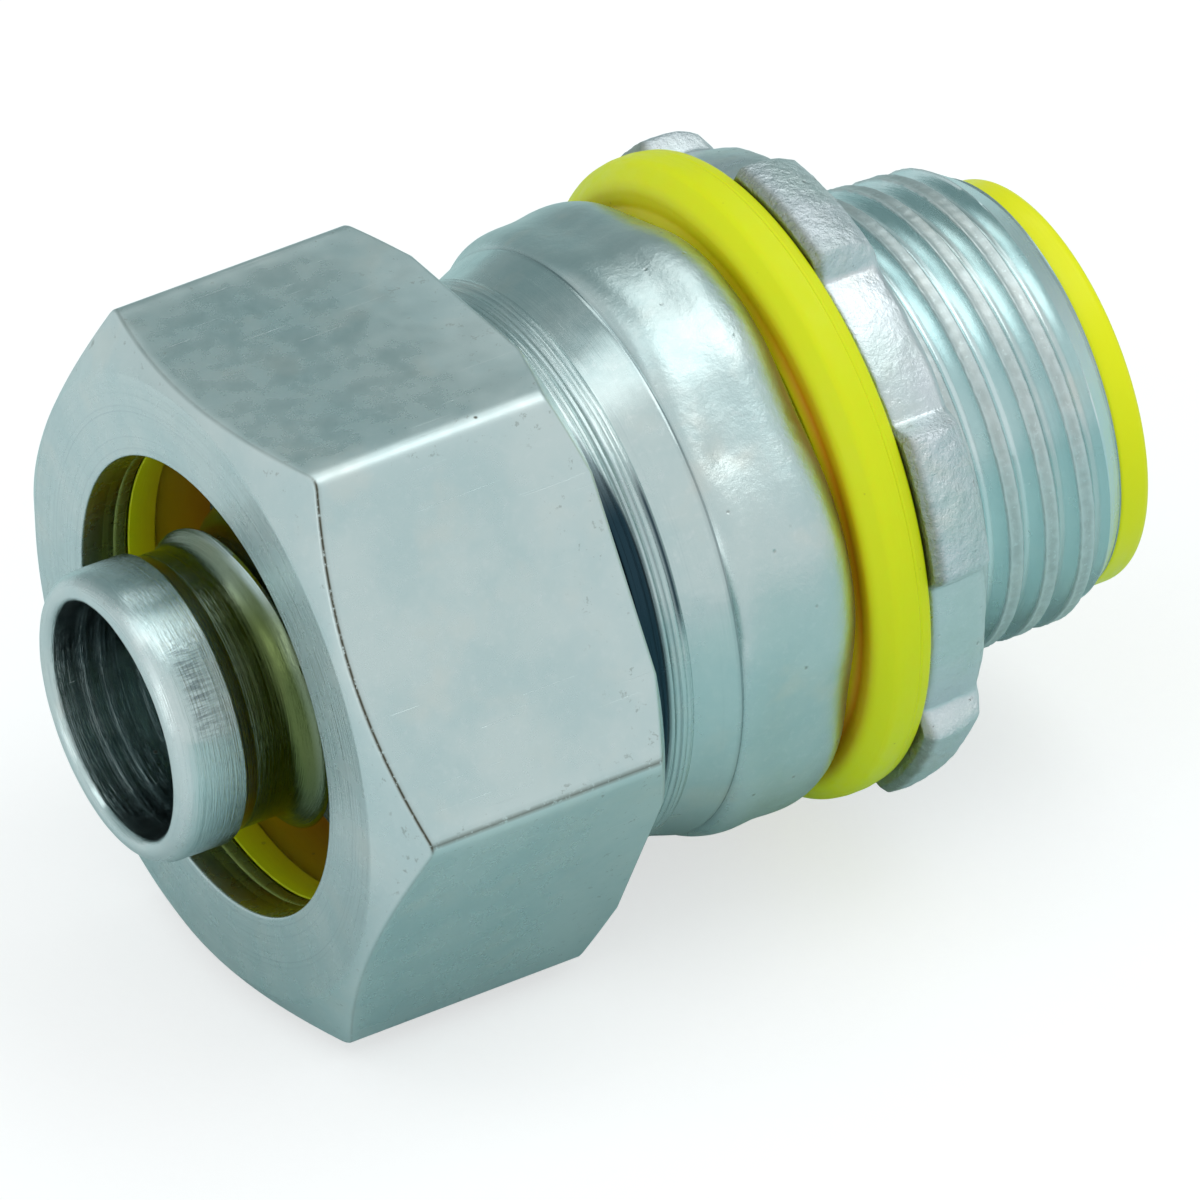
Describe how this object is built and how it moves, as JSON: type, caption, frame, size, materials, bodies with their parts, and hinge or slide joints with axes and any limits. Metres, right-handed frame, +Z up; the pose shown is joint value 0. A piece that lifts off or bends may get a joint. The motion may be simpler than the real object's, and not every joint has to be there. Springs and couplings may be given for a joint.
{
  "type": "liquid-tight conduit connector",
  "caption": "Straight liquid-tight fitting that joins flexible metal conduit to an enclosure: hex gland nut, ferrule, threaded nipple, sealing ring and locknut.",
  "frame": {"origin": "on the fitting's axis, half way along its overall length (the centre of the bounding box)", "axes": "+X along the axis from the gland nut's conduit opening towards the threaded nipple, +Z up, normal to one flat of the gland nut, so that the fitting lies on the opposite flat"},
  "size_m": [0.0468, 0.0334, 0.0304],
  "materials": {
    "zinc_nut": "bright zinc-plated machined steel with fine scratches and worn edges",
    "zinc_body": "zinc-plated steel, turned neck and thread, satin cast flange",
    "zinc_locknut": "zinc-plated pressed steel with sheared lugs",
    "zinc_ferrule": "bright zinc-plated rolled steel tube",
    "yellow_gasket": "smooth moulded elastomer, satin",
    "yellow_ring": "moulded nylon, satin",
    "yellow_throat": "moulded nylon, semi-gloss"
  },
  "bodies": {
    "body": {"body": "zinc_body", "insulated_throat": "yellow_throat"},
    "compression_ring": {"compression_ring": "yellow_ring"},
    "gland_nut": {"gland_nut": "zinc_nut"},
    "ferrule": {"ferrule": "zinc_ferrule"},
    "sealing_gasket": {"sealing_gasket": "yellow_gasket"},
    "locknut": {"locknut": "zinc_locknut"}
  },
  "joints": [
    {"name": "gland_nut_advance", "type": "slide", "parent": "body", "child": "compression_ring", "axis": [-1, 0, 0], "range_m": [0, 0.0052]},
    {"name": "gland_nut_turn", "type": "hinge", "parent": "compression_ring", "child": "gland_nut", "pos_m": [-0.01167, 0, 0], "axis": [-1, 0, 0], "range_deg": [0, 1179.21]},
    {"name": "ferrule_float", "type": "slide", "parent": "body", "child": "ferrule", "axis": [-1, 0, 0], "range_m": [0, 0.003]},
    {"name": "locknut_advance", "type": "slide", "parent": "body", "child": "sealing_gasket", "axis": [1, 0, 0], "range_m": [0, 0.0108]},
    {"name": "locknut_turn", "type": "hinge", "parent": "sealing_gasket", "child": "locknut", "pos_m": [0.01063, 0, 0], "axis": [1, 0, 0], "range_deg": [0, 2142.99]}
  ],
  "couplings": [
    {"joint": "gland_nut_advance", "follows": "gland_nut_turn", "m_per_rad": 0.00025266},
    {"joint": "locknut_advance", "follows": "locknut_turn", "m_per_rad": 0.00028875}
  ]
}
